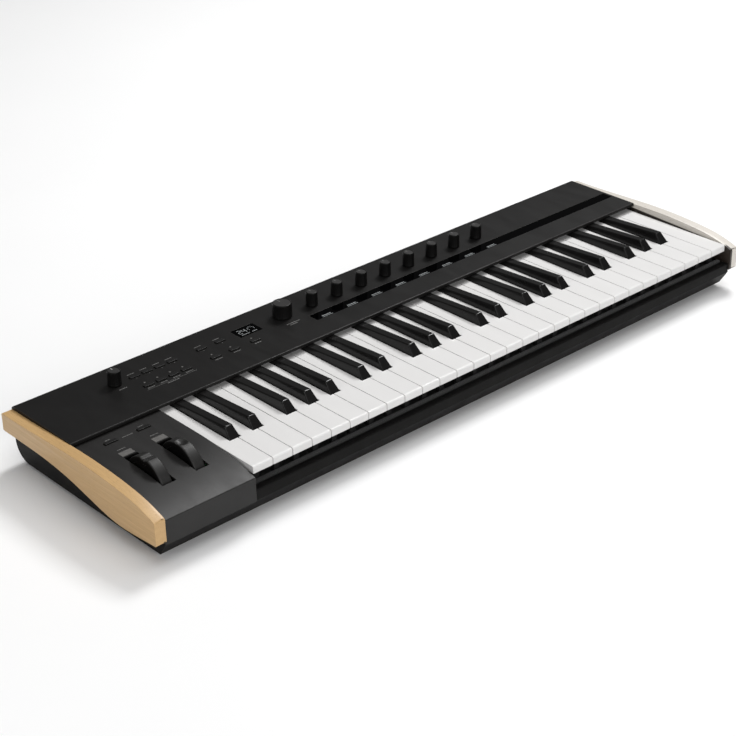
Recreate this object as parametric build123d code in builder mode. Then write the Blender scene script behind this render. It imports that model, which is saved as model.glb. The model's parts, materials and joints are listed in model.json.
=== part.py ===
"""Controller keyboard with 49 synth-action keys, two wheels, rotary knobs and wooden end cheeks.

Units are millimetres. The origin is the middle of the footprint on the table top,
+X runs from the low keys to the high keys, +Y to the back and +Z up.
"""
from build123d import *
from math import hypot
import os

os.makedirs("parts", exist_ok=True)

# Overall size
total_width = 810.0
body_depth = 242.0
foot_height = 5.0
panel_z = 62.0
cheek_thickness = 11.5
body_half = total_width / 2 - cheek_thickness
front_y = -body_depth / 2
rear_y = body_depth / 2

# Moulded walls
wall = 2.5
panel_wall = 2.2
end_wall = 2.0
running_clearance = 0.08

# Keys
key_pitch = 23.5
white_count = 29
octave_count = 4
octave_width = 7 * key_pitch
step_pitch = octave_width / 12
keybed_width = white_count * key_pitch
keys_right = body_half - 2.0
keys_left = keys_right - keybed_width
key_z = 53.0
key_front_y = -114.0
key_gap = 0.35
head_length = 50.2
plate_rear_y = 36.0
key_depth = 7.5
key_front_round = 2.2
key_edge_round = 0.5
key_skin = 2.5
key_side = 1.5
black_base = 12.0
black_crest = 8.4
black_front_y = key_front_y + 51.0
black_nose_y = black_front_y + 9.0
black_rise = 10.0
black_rear_rise = 4.2
black_clearance = 0.8
black_side_round = 1.3
black_low_z = 42.5
black_nose_round = 1.8
arm_width = 7.0
arm_low_z = 33.0
arm_high_z = 44.0
arm_rear_y = 95.0
pivot_y = 88.0
pivot_z = 37.5
pivot_radius = 1.6
plunger_y = -20.0
plunger_low_z = 36.0
plunger_size = 4.0
arm_root = 16.0

# Case
case_front_y = front_y + 2.0
rail_low_z = 20.5
rail_high_z = 31.0
keel_run = 10.0
keel_rise = rail_low_z - foot_height
keel_y = case_front_y + keel_run
rear_round = 20.0
floor_z = foot_height + wall
seam_z = 56.0
panel_front_y = 21.0
panel_low_z = panel_z - panel_wall
panel_lip_z = 58.9

# Wheel housing at the left of the keys
housing_right = keys_left - 2.5
housing_front_y = front_y + 0.5
housing_front_z = 45.5
housing_rear_z = 57.0
housing_wall = 2.0
housing_step_y = front_y + 20.0
wheel_xs = {"pitch_wheel": -360.5, "modulation_wheel": -323.5}
wheel_y = -54.0
wheel_z = 39.0
wheel_radius = 29.0
wheel_width = 12.0
hub_width = 17.0
hub_radius = 9.0
axle_radius = 3.0
slot_width = 15.0
slot_front_y = -84.0
slot_rear_y = -25.0
bar_size = (14.0, 8.0)
bar_thick = 2.9
bar_y = -19.5

# Controls on the top panel
row_y = 85.5
lower_row_y = 62.0
indicator_y = 68.5
button_size = (11.5, 4.6)
button_gap = 0.4
button_rise = 1.2
button_pitch = 15.2
bank_xs = [-276.0 + button_pitch * column for column in range(4)]
pair_xs = [-194.0, -170.5]
upper_xs = bank_xs + pair_xs
lower_xs = bank_xs + pair_xs + [-143.5]
octave_button_size = (14.0, 4.0)
octave_button_y = 5.5
indicator_radius = 1.0
knob_lift = 0.6
knob_height = 15.4
knob_pitch = 34.75
knob_y = 83.0
shaft_radius = 3.0
shaft_low_z = 53.0
panel_hole_radius = 3.8
knobs = {"volume_knob": (-299.0, row_y, 7.0), "value_dial": (-89.0, 84.5, 10.5)}
for knob_number in range(8):
    knobs[f"parameter_knob_{knob_number + 1}"] = (-50.0 + knob_pitch * knob_number, knob_y, 6.5)
knob_points = [(x, y) for x, y, _ in knobs.values()]
window_at = (-136.0, 85.5)
window_size = (29.0, 18.5)
window_thick = 1.2
lens_thick = 1.0
ledge = 1.2
strip_left = -69.0
strip_right = 390.5
strip_y = 59.0
strip_depth = 14.0
small_display_size = (28.0, 9.5)

# Boards
board_thick = 1.6
panel_board_z = 50.0
contact_board_z = 15.5
encoder_size = 12.0
encoder_height = 6.2

# Key frame
frame_front_y = -110.0
frame_rear_y = 98.0
frame_z = 13.0
stop_bar_z = 30.5
rod_radius = pivot_radius - running_clearance

# Rear sockets
socket_z = 38.0
jack_xs = [-222.0, -197.0, -172.0, -147.0]
jack_bore = 3.25
jack_bush = 4.5
din_xs = [-296.0, -266.0]
din_bore = 6.6
usb_x = -330.0
usb_size = (9.2, 3.4)
socket_front_y = 97.0
socket_plate_x = (-345.0, -132.0)
socket_plate_low_z = 24.0
plate_gap = 0.2

# Feet and screws
foot_radius = 8.0
foot_xs = [-350.0, 0.0, 350.0]
foot_ys = [-92.0, 88.0]
screw_radius = 1.5
screw_head_radius = 2.9
case_screw_xs = [-270.0, -135.0, 20.0, 170.0, 330.0]
case_screw_ys = [-95.0, 75.0]
cheek_screw_points = [(-85.0, 26.0), (-45.0, 26.0), (50.0, 47.0), (100.0, 47.0)]

# Layout of one octave: left and right edges of each white tail, and the step of each black key
steps = ["c", "c_sharp", "d", "d_sharp", "e", "f", "f_sharp", "g", "g_sharp", "a", "a_sharp", "b"]
white_steps = [0, 2, 4, 5, 7, 9, 11]
black_steps = [1, 3, 6, 8, 10]


def step_x(step):
    """Middle of a key's tail and arm, measured from the left edge of its octave."""
    return (step + 0.5) * step_pitch


def save(piece, name):
    """Label a finished piece and write it under its own name."""
    piece.part.label = name
    export_step(piece.part, f"parts/{name}.step")


def block(x, y, z, mode=Mode.ADD):
    """Rectangular block between the given low and high limits along each axis."""
    with Locations(((x[0] + x[1]) / 2, (y[0] + y[1]) / 2, (z[0] + z[1]) / 2)):
        Box(x[1] - x[0], y[1] - y[0], z[1] - z[0], mode=mode)


def around(centre, size, margin=0.0):
    """Low and high limits along X and Y of a rectangle about a centre, made larger by a margin."""
    return [(middle - length / 2 - margin, middle + length / 2 + margin)
            for middle, length in zip(centre, size)]


def x_rod(radius, x, y, z, mode=Mode.ADD):
    """Round rod along X between two x limits."""
    with Locations(((x[0] + x[1]) / 2, y, z)):
        Cylinder(radius, x[1] - x[0], rotation=(0, 90, 0), mode=mode)


def z_rod(radius, points, z, mode=Mode.ADD):
    """Round rods along Z between two heights, one at each (x, y) point."""
    with Locations(*[(px, py, (z[0] + z[1]) / 2) for px, py in points]):
        Cylinder(radius, z[1] - z[0], mode=mode)


def tail_edges(step):
    """Left and right edges of a white key's tail between the black keys of its octave."""
    position = white_steps.index(step)
    slot_half = black_base / 2 + black_clearance
    left = position * key_pitch + key_gap
    right = (position + 1) * key_pitch - key_gap
    if step - 1 in black_steps:
        left = step_x(step - 1) + slot_half
    if step + 1 in black_steps:
        right = step_x(step + 1) - slot_half
    return left, right


def key_arm(centre, front_y_of_arm):
    """Arm that runs back from a key to the pivot rod, with the bore for the rod."""
    sides = (centre - arm_width / 2, centre + arm_width / 2)
    block(sides, (front_y_of_arm, arm_rear_y), (arm_low_z, arm_high_z))
    block((centre - plunger_size / 2, centre + plunger_size / 2),
          (plunger_y - plunger_size / 2, plunger_y + plunger_size / 2),
          (plunger_low_z, key_z - key_skin))
    x_rod(pivot_radius, (sides[0] - 1, sides[1] + 1), pivot_y, pivot_z, mode=Mode.SUBTRACT)


def white_key(step, tail_left, tail_right):
    """White key with a hollow head, a narrower tail between the black keys and a rear arm."""
    position = white_steps.index(step)
    head_left = position * key_pitch + key_gap
    head_right = (position + 1) * key_pitch - key_gap
    head_rear_y = key_front_y + head_length
    low_z = key_z - key_depth
    with BuildPart() as key:
        block((head_left, head_right), (key_front_y, head_rear_y), (low_z, key_z))
        block((tail_left, tail_right), (head_rear_y, plate_rear_y), (low_z, key_z))
        front_top = key.edges().filter_by(Axis.X).group_by(Axis.Y)[0].sort_by(Axis.Z)[-1]
        fillet(front_top, key_front_round)
        fillet(key.faces().sort_by(Axis.Z)[-1].edges().filter_by(Axis.Y), key_edge_round)
        block((head_left + key_side, head_right - key_side),
              (key_front_y + key_side, head_rear_y - key_side),
              (low_z, key_z - key_skin), mode=Mode.SUBTRACT)
        block((tail_left + key_side, tail_right - key_side),
              (head_rear_y - key_side, plate_rear_y),
              (low_z, key_z - key_skin), mode=Mode.SUBTRACT)
        arm_front = plate_rear_y - arm_root
        sides = (step_x(step) - arm_width / 2, step_x(step) + arm_width / 2)
        block(sides, (arm_front, plate_rear_y), (arm_low_z, key_z - key_skin))
        key_arm(step_x(step), arm_front)
    return key.part


def black_key(step):
    """Black key with sloping sides and nose, a crest that falls to the rear and a rear arm."""
    centre = step_x(step)
    length = plate_rear_y - black_front_y
    middle_y = (plate_rear_y + black_front_y) / 2
    crest_length = plate_rear_y - black_nose_y
    with BuildPart() as key:
        with BuildSketch(Plane.XY.offset(key_z)):
            with Locations((centre, middle_y)):
                Rectangle(black_base, length)
        with BuildSketch(Plane.XY.offset(key_z + black_rise)):
            with Locations((centre, plate_rear_y - crest_length / 2)):
                Rectangle(black_crest, crest_length)
        loft()
        fall = (black_rise - black_rear_rise) / crest_length
        crest = Plane(origin=(centre, black_nose_y, key_z + black_rise), x_dir=(1, 0, 0), z_dir=(0, fall, 1))
        split(bisect_by=crest, keep=Keep.BOTTOM)
        top = key.faces().sort_by(Axis.Z)[-1]
        fillet(top.edges().filter_by(Axis.X, reverse=True), black_side_round)
        nose_edges = key.edges().filter_by(Axis.X).filter_by(lambda edge: edge.center().Z > key_z + 5)
        fillet(nose_edges.sort_by(Axis.Y)[0], black_nose_round)
        block((centre - black_base / 2, centre + black_base / 2),
              (black_front_y, plate_rear_y), (black_low_z, key_z))
        key_arm(centre, 0)
    return key.part


def save_keys(name, key, octaves, last_key=None):
    """One node with the same key of every octave, each a separate solid."""
    with BuildPart() as group:
        with Locations(*[(keys_left + octave * octave_width, 0, 0) for octave in range(octaves)]):
            add(key)
        if last_key is not None:
            with Locations((keys_left + octaves * octave_width, 0, 0)):
                add(last_key)
    save(group, name)


# ---- Keys -------------------------------------------------------------------
for step_number, step_name in enumerate(steps):
    if step_number in black_steps:
        save_keys(f"keys_{step_name}", black_key(step_number), octave_count)
        continue
    plain_key = white_key(step_number, *tail_edges(step_number))
    top_key = None
    if step_number == 0:
        top_key = white_key(0, key_gap, key_pitch - key_gap)
    save_keys(f"keys_{step_name}", plain_key, octave_count, top_key)

arm_xs = [keys_left + octave * octave_width + step_x(step)
          for octave in range(octave_count) for step in range(12)]
arm_xs.append(keys_left + octave_count * octave_width + step_x(0))

# ---- Bottom case ------------------------------------------------------------
# Thin tray: chamfered keel at the front, flat floor, rounded rear corner and rear wall,
# with a cut-out in the rear wall for the plate that carries the sockets.
slant = wall * hypot(keel_run, keel_rise) / keel_rise
inner_keel_y = keel_y - wall * keel_run / keel_rise + slant
with BuildPart() as bottom_case:
    with BuildSketch(Plane.YZ.offset(-body_half)):
        with BuildLine():
            Polyline((case_front_y, rail_low_z), (keel_y, foot_height), (rear_y - rear_round, foot_height))
            RadiusArc((rear_y - rear_round, foot_height), (rear_y, foot_height + rear_round), -rear_round)
            Polyline((rear_y, foot_height + rear_round), (rear_y, seam_z), (rear_y - wall, seam_z),
                     (rear_y - wall, foot_height + rear_round))
            RadiusArc((rear_y - wall, foot_height + rear_round), (rear_y - rear_round, floor_z),
                      rear_round - wall)
            Polyline((rear_y - rear_round, floor_z), (inner_keel_y, floor_z),
                     (case_front_y + slant, rail_low_z), (case_front_y, rail_low_z))
        make_face()
    extrude(amount=2 * body_half)
    for wall_x in (-body_half, body_half - end_wall):
        with BuildSketch(Plane.YZ.offset(wall_x)):
            with BuildLine():
                Polyline((case_front_y, rail_low_z), (keel_y, foot_height),
                         (rear_y - rear_round, foot_height))
                RadiusArc((rear_y - rear_round, foot_height), (rear_y, foot_height + rear_round), -rear_round)
                Polyline((rear_y, foot_height + rear_round), (rear_y, seam_z), (panel_front_y + 3, seam_z),
                         (panel_front_y + 3, rail_high_z), (housing_step_y, rail_high_z),
                         (housing_step_y, rail_low_z), (case_front_y, rail_low_z))
            make_face()
        extrude(amount=end_wall)
    block(socket_plate_x, (rear_y - wall, rear_y), (socket_plate_low_z, seam_z), mode=Mode.SUBTRACT)
    z_rod(screw_radius, [(x, y) for x in case_screw_xs for y in case_screw_ys],
          (foot_height, floor_z), mode=Mode.SUBTRACT)
    for screw_y, screw_z in cheek_screw_points:
        x_rod(screw_radius, (-body_half - 1, body_half + 1), screw_y, screw_z, mode=Mode.SUBTRACT)
save(bottom_case, "bottom_case")

# ---- Front rail below the key fronts ------------------------------------------
rail_wall = 2.2
rail_flange = 7.5
rail_end = 12.0
with BuildPart() as front_rail:
    with BuildSketch(Plane.YZ.offset(housing_right)):
        with BuildLine():
            Polyline((case_front_y, rail_low_z), (case_front_y, rail_high_z),
                     (case_front_y + rail_flange, rail_high_z),
                     (case_front_y + rail_flange, rail_high_z - rail_wall),
                     (case_front_y + rail_wall, rail_high_z - rail_wall),
                     (case_front_y + rail_wall, rail_low_z), close=True)
        make_face()
    extrude(amount=body_half - housing_right)
    long_edges = front_rail.edges().filter_by(Axis.X)
    fillet(long_edges.sort_by(lambda edge: edge.center().Z - edge.center().Y)[-1], 1.0)
    block((body_half - rail_end, body_half), (case_front_y + rail_wall, frame_front_y - 0.2),
          (rail_low_z + 1.5, rail_high_z - rail_wall))
save(front_rail, "front_rail")

# ---- Top panel ----------------------------------------------------------------
rear_edge = 4.0
with BuildPart() as top_panel:
    with BuildSketch(Plane.YZ.offset(-body_half)):
        with BuildLine():
            Polyline((panel_front_y, panel_lip_z), (panel_front_y, panel_z), (rear_y - rear_edge, panel_z))
            RadiusArc((rear_y - rear_edge, panel_z), (rear_y, panel_z - rear_edge), rear_edge)
            Polyline((rear_y, panel_z - rear_edge), (rear_y, seam_z), (rear_y - wall, seam_z),
                     (rear_y - wall, panel_low_z - 1), (rear_y - wall - 1, panel_low_z),
                     (panel_front_y + wall, panel_low_z), (panel_front_y + wall, panel_lip_z),
                     (panel_front_y, panel_lip_z))
        make_face()
    extrude(amount=2 * body_half)
    front_edges = top_panel.edges().filter_by(Axis.X).filter_by(lambda edge: edge.center().Z > panel_z - 0.1)
    fillet(front_edges.sort_by(Axis.Y)[0], 1.4)
    for flange_x in (-body_half, body_half - 2):
        block((flange_x, flange_x + 2), (panel_front_y + 3, rear_y - wall), (seam_z, panel_low_z))
    z_rod(panel_hole_radius, knob_points, (panel_low_z, panel_z), mode=Mode.SUBTRACT)
    z_rod(indicator_radius, [(x, indicator_y) for x in lower_xs], (panel_low_z, panel_z), mode=Mode.SUBTRACT)
    with BuildSketch(Plane.XY.offset(panel_z)):
        with Locations(*[(x, row_y) for x in upper_xs], *[(x, lower_row_y) for x in lower_xs]):
            RectangleRounded(button_size[0] + 2 * button_gap, button_size[1] + 2 * button_gap, 1.0)
        with Locations(window_at):
            Rectangle(window_size[0] - 2 * ledge, window_size[1] - 2 * ledge)
        with Locations(*[(x, strip_y) for name, (x, _, _) in knobs.items() if name.startswith("parameter")]):
            Rectangle(small_display_size[0] - 2, small_display_size[1] - 2)
    extrude(amount=-panel_wall, mode=Mode.SUBTRACT)
    with BuildSketch(Plane.XY.offset(panel_z)):
        with Locations(window_at):
            Rectangle(*window_size)
    extrude(amount=-window_thick, mode=Mode.SUBTRACT)
    block((strip_left, strip_right), (strip_y - strip_depth / 2, strip_y + strip_depth / 2),
          (panel_z - lens_thick, panel_z), mode=Mode.SUBTRACT)
save(top_panel, "top_panel")

# ---- Lenses and displays --------------------------------------------------------
# Two smoked lenses: a window over the main display and a long strip over the small ones.
lens_drop = 0.3
with BuildPart() as display_lenses:
    with BuildSketch(Plane.XY.offset(panel_z - window_thick)):
        with Locations(window_at):
            Rectangle(*window_size)
    extrude(amount=window_thick - 0.1)
    block((strip_left, strip_right), (strip_y - strip_depth / 2, strip_y + strip_depth / 2),
          (panel_z - lens_thick, panel_z - lens_drop))
save(display_lenses, "display_lenses")

display_thick = 1.5
with BuildPart() as display_modules:
    with BuildSketch(Plane.XY.offset(panel_low_z - display_thick)):
        with Locations(window_at):
            Rectangle(window_size[0] - 1, window_size[1] - 2)
        with Locations(*[(x, strip_y) for name, (x, _, _) in knobs.items() if name.startswith("parameter")]):
            Rectangle(*small_display_size)
    extrude(amount=display_thick)
save(display_modules, "display_modules")

with BuildPart() as light_lenses:
    z_rod(indicator_radius, [(x, indicator_y) for x in lower_xs], (panel_low_z, panel_z + 0.2))
    for bar_x in wheel_xs.values():
        block(*around((bar_x, bar_y), bar_size), (housing_rear_z - 0.1 - bar_thick, housing_rear_z - 0.1))
save(light_lenses, "light_lenses")


def housing_outline(inset):
    """Closed side outline of the wheel housing, moved inwards by the given wall thickness."""
    low_z = rail_high_z
    front = housing_front_y + inset
    with BuildLine() as outline:
        crown = Spline((front, housing_front_z - inset * 0.8), (-90.0, 52.5 - inset), (-60.0, 56.0 - inset),
                       (-25.0, housing_rear_z - inset), tangents=[(1, 0.32), (1, 0)])
        Polyline(crown @ 1, (panel_front_y + 3, housing_rear_z - inset), (panel_front_y + 3, low_z),
                 (housing_step_y, low_z), (housing_step_y, rail_low_z), (front, rail_low_z), crown @ 0)
    return outline.line


# ---- Wheel housing ----------------------------------------------------------------
with BuildPart() as wheel_housing:
    with BuildSketch(Plane.YZ.offset(-body_half)):
        add(housing_outline(0))
        make_face()
    extrude(amount=housing_right + body_half)
    top_front = wheel_housing.edges().filter_by(Axis.X).group_by(Axis.Y)[0].sort_by(Axis.Z)[-1]
    fillet(top_front, 1.2)
    with BuildSketch(Plane.YZ.offset(-body_half + housing_wall)):
        add(housing_outline(housing_wall))
        make_face()
    extrude(amount=housing_right + body_half - 2 * housing_wall, mode=Mode.SUBTRACT)
    block((-body_half + housing_wall, housing_right - housing_wall), (front_y + 10, panel_front_y + 20),
          (rail_low_z - 1, rail_high_z + 8), mode=Mode.SUBTRACT)
    for slot_x in wheel_xs.values():
        block((slot_x - slot_width / 2, slot_x + slot_width / 2), (slot_front_y, slot_rear_y),
              (housing_front_z, panel_z), mode=Mode.SUBTRACT)
        block(*around((slot_x, bar_y), bar_size), (housing_front_z, panel_z), mode=Mode.SUBTRACT)
        block(*around((slot_x, octave_button_y), octave_button_size, button_gap),
              (housing_front_z, panel_z), mode=Mode.SUBTRACT)
save(wheel_housing, "wheel_housing")

# ---- Pitch and modulation wheels, and the bracket that carries them -----------------
bracket_plate = 2.5
bracket_xs = [-375.0, -342.0, -309.0]
bracket_half = 11.0
bracket_rear_y = -14.0
bracket_web_z = 24.0
with BuildPart() as wheel_bracket:
    for plate_x in bracket_xs:
        sides = (plate_x - bracket_plate / 2, plate_x + bracket_plate / 2)
        block(sides, (wheel_y - bracket_half, bracket_rear_y), (floor_z, bracket_web_z))
        block(sides, (wheel_y - bracket_half, wheel_y + bracket_half), (floor_z, wheel_z + 7))
    block((bracket_xs[0], bracket_xs[-1]), (bracket_rear_y - 6, bracket_rear_y), (floor_z, bracket_web_z))
    x_rod(axle_radius, (bracket_xs[0] - 3, bracket_xs[-1] + 3), wheel_y, wheel_z)
save(wheel_bracket, "wheel_bracket")

thumb_radius = {"pitch_wheel": 4.0, "modulation_wheel": 5.0}
for wheel_name, wheel_x in wheel_xs.items():
    with BuildPart() as wheel:
        x_rod(wheel_radius, (wheel_x - wheel_width / 2, wheel_x + wheel_width / 2), wheel_y, wheel_z)
        fillet(wheel.edges().filter_by(GeomType.CIRCLE), 1.5)
        x_rod(hub_radius, (wheel_x - hub_width / 2, wheel_x + hub_width / 2), wheel_y, wheel_z)
        x_rod(axle_radius + running_clearance, (wheel_x - hub_width, wheel_x + hub_width),
              wheel_y, wheel_z, mode=Mode.SUBTRACT)
        with Locations((wheel_x, wheel_y, wheel_z + wheel_radius + thumb_radius[wheel_name] * 0.55)):
            Sphere(thumb_radius[wheel_name], mode=Mode.SUBTRACT)
    save(wheel, wheel_name)

# ---- Wooden end cheeks ------------------------------------------------------------
screw_in_wood = 8.0
with BuildPart() as right_cheek:
    with BuildSketch(Plane.YZ.offset(body_half)):
        with BuildLine():
            crest_line = Spline((front_y, 47.8), (-99.0, 54.6), (-62.0, 59.6), (-14.0, 61.6), (51.0, 60.0),
                                (rear_y, 58.5))
            keel_line = Spline((front_y, 23.5), (-89.0, 20.9), (-60.0, 20.4), (-29.0, 25.5), (6.0, 33.0),
                               (46.0, 38.0), (86.0, 39.3), (rear_y, 39.5))
            Line(crest_line @ 0, keel_line @ 0)
            Line(crest_line @ 1, keel_line @ 1)
        make_face()
    extrude(amount=cheek_thickness)
    outer_edges = right_cheek.faces().sort_by(Axis.X)[-1].edges()
    fillet(outer_edges.sort_by(Axis.Z)[-1], 2.4)
    fillet(right_cheek.faces().sort_by(Axis.X)[-1].edges().sort_by(Axis.Z)[0], 1.2)
    for screw_y, screw_z in cheek_screw_points:
        x_rod(screw_radius, (body_half, body_half + screw_in_wood), screw_y, screw_z, mode=Mode.SUBTRACT)
save(right_cheek, "right_cheek")

with BuildPart() as left_cheek:
    add(right_cheek.part.mirror(Plane.YZ))
save(left_cheek, "left_cheek")

# ---- Key frame with guide posts and rod supports -------------------------------------
frame_left = keys_left + 0.5
frame_right = keys_right - 1.0
frame_thick = 2.5
rest_ledge_z = 30.4
rest_ledge_y = (91.0, 95.0)
end_shift = 1.0
support_inset = 4.0
support_half = 1.5
bar_depth = 14.0
rib_half = 5.0
support_reach = (5.0, 3.0)
support_rise = 5.0
guide_post = (6.0, 5.0, 9.0)
guide_y = -101.5
spring_y = 66.0
support_xs = [keys_left + octave * octave_width + shift
              for octave in range(octave_count) for shift in (0, 5 * step_pitch)]
support_xs[0] += end_shift
support_xs.append(keys_left + octave_count * octave_width)
support_xs.append(keys_right - support_inset)
with BuildPart() as key_frame:
    block((frame_left, frame_right), (frame_front_y, frame_rear_y), (frame_z, frame_z + frame_thick))
    block((frame_left, frame_right), (frame_front_y, frame_front_y + bar_depth), (frame_z, stop_bar_z))
    block((frame_left, frame_right), rest_ledge_y, (frame_z, rest_ledge_z))
    for rib_y in (frame_front_y + 3 * rib_half, plunger_y, spring_y + 9):
        block((frame_left, frame_right), (rib_y - rib_half, rib_y + rib_half), (floor_z, frame_z))
    with Locations(*[(keys_left + (index + 0.5) * key_pitch, guide_y, stop_bar_z + guide_post[2] / 2)
                     for index in range(white_count)]):
        Box(*guide_post)
    for support_x in support_xs:
        block((support_x - support_half, support_x + support_half),
              (pivot_y - support_reach[0], pivot_y + support_reach[1]), (frame_z, pivot_z + support_rise))
    x_rod(rod_radius, (frame_left, frame_right), pivot_y, pivot_z, mode=Mode.SUBTRACT)
    z_rod(screw_radius, [(x, y) for x in case_screw_xs for y in case_screw_ys],
          (floor_z, frame_z + 1.5), mode=Mode.SUBTRACT)
save(key_frame, "key_frame")

with BuildPart() as key_pivot_rod:
    x_rod(rod_radius, (frame_left, frame_right), pivot_y, pivot_z)
save(key_pivot_rod, "key_pivot_rod")

felt_thick = 2.0
with BuildPart() as key_felts:
    block((frame_left, frame_right), (frame_front_y + 0.5, frame_front_y + 5),
          (stop_bar_z, stop_bar_z + felt_thick))
    block((frame_left, frame_right), rest_ledge_y, (rest_ledge_z, rest_ledge_z + felt_thick))
save(key_felts, "key_felts")

spring_radius = 2.8
with BuildPart() as key_springs:
    z_rod(spring_radius, [(x, spring_y) for x in arm_xs], (frame_z + frame_thick, arm_low_z - 1.5))
    z_rod(spring_radius - 1.0, [(x, spring_y) for x in arm_xs], (frame_z + frame_thick, arm_low_z - 1.5),
          mode=Mode.SUBTRACT)
save(key_springs, "key_springs")

# ---- Rubber contact strip ------------------------------------------------------------
dome_top_z = 29.6
strip_low_z = contact_board_z + board_thick
with BuildPart() as contact_domes:
    block((frame_left + 1, frame_right - 1), (plunger_y - 9, plunger_y + 9), (strip_low_z, strip_low_z + 1))
    with Locations(*[(x, plunger_y, (strip_low_z + 1 + dome_top_z) / 2) for x in arm_xs]):
        Cone(5.0, 3.0, dome_top_z - strip_low_z - 1)
save(contact_domes, "contact_domes")

# ---- Circuit boards: key contacts below, panel controls above ---------------------------
switch_height = 1.4
with BuildPart() as circuit_boards:
    block((frame_left + 1, frame_right - 1), (plunger_y - 20, plunger_y + 20),
          (contact_board_z, contact_board_z + board_thick))
    block((-330.0, 240.0), (48.0, 96.0), (panel_board_z, panel_board_z + board_thick))
    with Locations(*[(x, row_y, panel_board_z + board_thick + switch_height / 2) for x in upper_xs],
                   *[(x, lower_row_y, panel_board_z + board_thick + switch_height / 2) for x in lower_xs]):
        Box(6, 6, switch_height)
save(circuit_boards, "circuit_boards")

with BuildPart() as rotary_encoders:
    encoder_z = panel_board_z + board_thick
    with Locations(*[(x, y, encoder_z + encoder_height / 2) for x, y in knob_points]):
        Box(encoder_size, encoder_size, encoder_height)
    z_rod(shaft_radius + running_clearance, knob_points, (shaft_low_z, panel_z), mode=Mode.SUBTRACT)
save(rotary_encoders, "rotary_encoders")

# ---- Knobs ---------------------------------------------------------------------------
for knob_name, (knob_x, knob_centre_y, knob_radius) in knobs.items():
    knob_low_z = panel_z + knob_lift
    knob_top_z = knob_low_z + knob_height
    with BuildPart() as knob:
        with BuildSketch(Plane.XY.offset(knob_low_z)):
            with Locations((knob_x, knob_centre_y)):
                Circle(knob_radius)
        extrude(amount=knob_height, taper=1.0)
        fillet(knob.faces().sort_by(Axis.Z)[-1].edges(), 0.8)
        z_rod(shaft_radius, [(knob_x, knob_centre_y)], (shaft_low_z + 0.5, knob_low_z + 1))
        block((knob_x - 0.5, knob_x + 0.5), (knob_centre_y + knob_radius * 0.35, knob_centre_y + knob_radius),
              (knob_top_z - 0.4, knob_top_z), mode=Mode.SUBTRACT)
    save(knob, knob_name)

# ---- Push buttons ----------------------------------------------------------------------
flange_gap = 0.4
flange_reach = 1.0
flange_thick = 1.0
stem_radius = 1.6
stem_low_z = 54.4


def push_button(name, centre, size, face_z, skin_low_z, stem_z):
    """Button cap that stands through its opening, with a retaining flange and a stem below."""
    with BuildPart() as button:
        with BuildSketch(Plane.XY.offset(skin_low_z - flange_gap)):
            with Locations(centre):
                RectangleRounded(*size, 0.8)
        extrude(amount=face_z - skin_low_z + flange_gap)
        fillet(button.faces().sort_by(Axis.Z)[-1].edges(), 0.4)
        flange_high_z = skin_low_z - flange_gap
        block(*around(centre, size, flange_reach), (flange_high_z - flange_thick, flange_high_z))
        z_rod(stem_radius, [centre], (stem_z, flange_high_z - flange_thick))
    save(button, name)


for number, button_x in enumerate(upper_xs):
    push_button(f"upper_button_{number + 1}", (button_x, row_y), button_size,
                panel_z + button_rise, panel_low_z, stem_low_z)
for number, button_x in enumerate(lower_xs):
    push_button(f"lower_button_{number + 1}", (button_x, lower_row_y), button_size,
                panel_z + button_rise, panel_low_z, stem_low_z)
for side, button_x in zip(("down", "up"), wheel_xs.values()):
    push_button(f"octave_{side}_button", (button_x, octave_button_y), octave_button_size,
                housing_rear_z + button_rise, housing_rear_z - housing_wall, housing_rear_z - 8)

# ---- Rear sockets and the plate that carries them ------------------------------------------
jack_body = (15.0, 13.0)
jack_depth = 20.0
din_body = (20.0, 20.0)
din_front_y = socket_front_y + 8
usb_body = (12.0, 7.0)
usb_front_y = socket_front_y + 12
din_depth = 9.0
din_rim = 1.2
usb_rim = 0.8
usb_round = 1.6
rear_inside = rear_y - wall
with BuildPart() as rear_sockets:
    for jack_x in jack_xs:
        block((jack_x - jack_body[0] / 2, jack_x + jack_body[0] / 2), (socket_front_y, rear_inside),
              (socket_z - jack_body[1] / 2, socket_z + jack_body[1] / 2))
    for din_x in din_xs:
        block((din_x - din_body[0] / 2, din_x + din_body[0] / 2), (din_front_y, rear_inside),
              (socket_z - din_body[1] / 2, socket_z + din_body[1] / 2))
    block((usb_x - usb_body[0] / 2, usb_x + usb_body[0] / 2), (usb_front_y, rear_inside),
          (socket_z - usb_body[1] / 2, socket_z + usb_body[1] / 2))
    with BuildSketch(Plane.XZ.offset(-rear_inside)):
        with Locations(*[(x, socket_z) for x in jack_xs]):
            Circle(jack_bush - plate_gap)
        with Locations(*[(x, socket_z) for x in din_xs]):
            Circle(din_bore + din_rim)
        with Locations((usb_x, socket_z)):
            RectangleRounded(usb_size[0] + 2 * usb_rim, usb_size[1] + 2 * usb_rim, usb_round + usb_rim - 0.1)
    extrude(amount=-wall)
    with BuildSketch(Plane.XZ.offset(-rear_y)):
        with Locations(*[(x, socket_z) for x in jack_xs]):
            Circle(jack_bore)
    extrude(amount=jack_depth, mode=Mode.SUBTRACT)
    with BuildSketch(Plane.XZ.offset(-rear_y)):
        with Locations(*[(x, socket_z) for x in din_xs]):
            Circle(din_bore)
        with Locations((usb_x, socket_z)):
            RectangleRounded(*usb_size, usb_round)
    extrude(amount=din_depth, mode=Mode.SUBTRACT)
save(rear_sockets, "rear_sockets")

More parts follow.
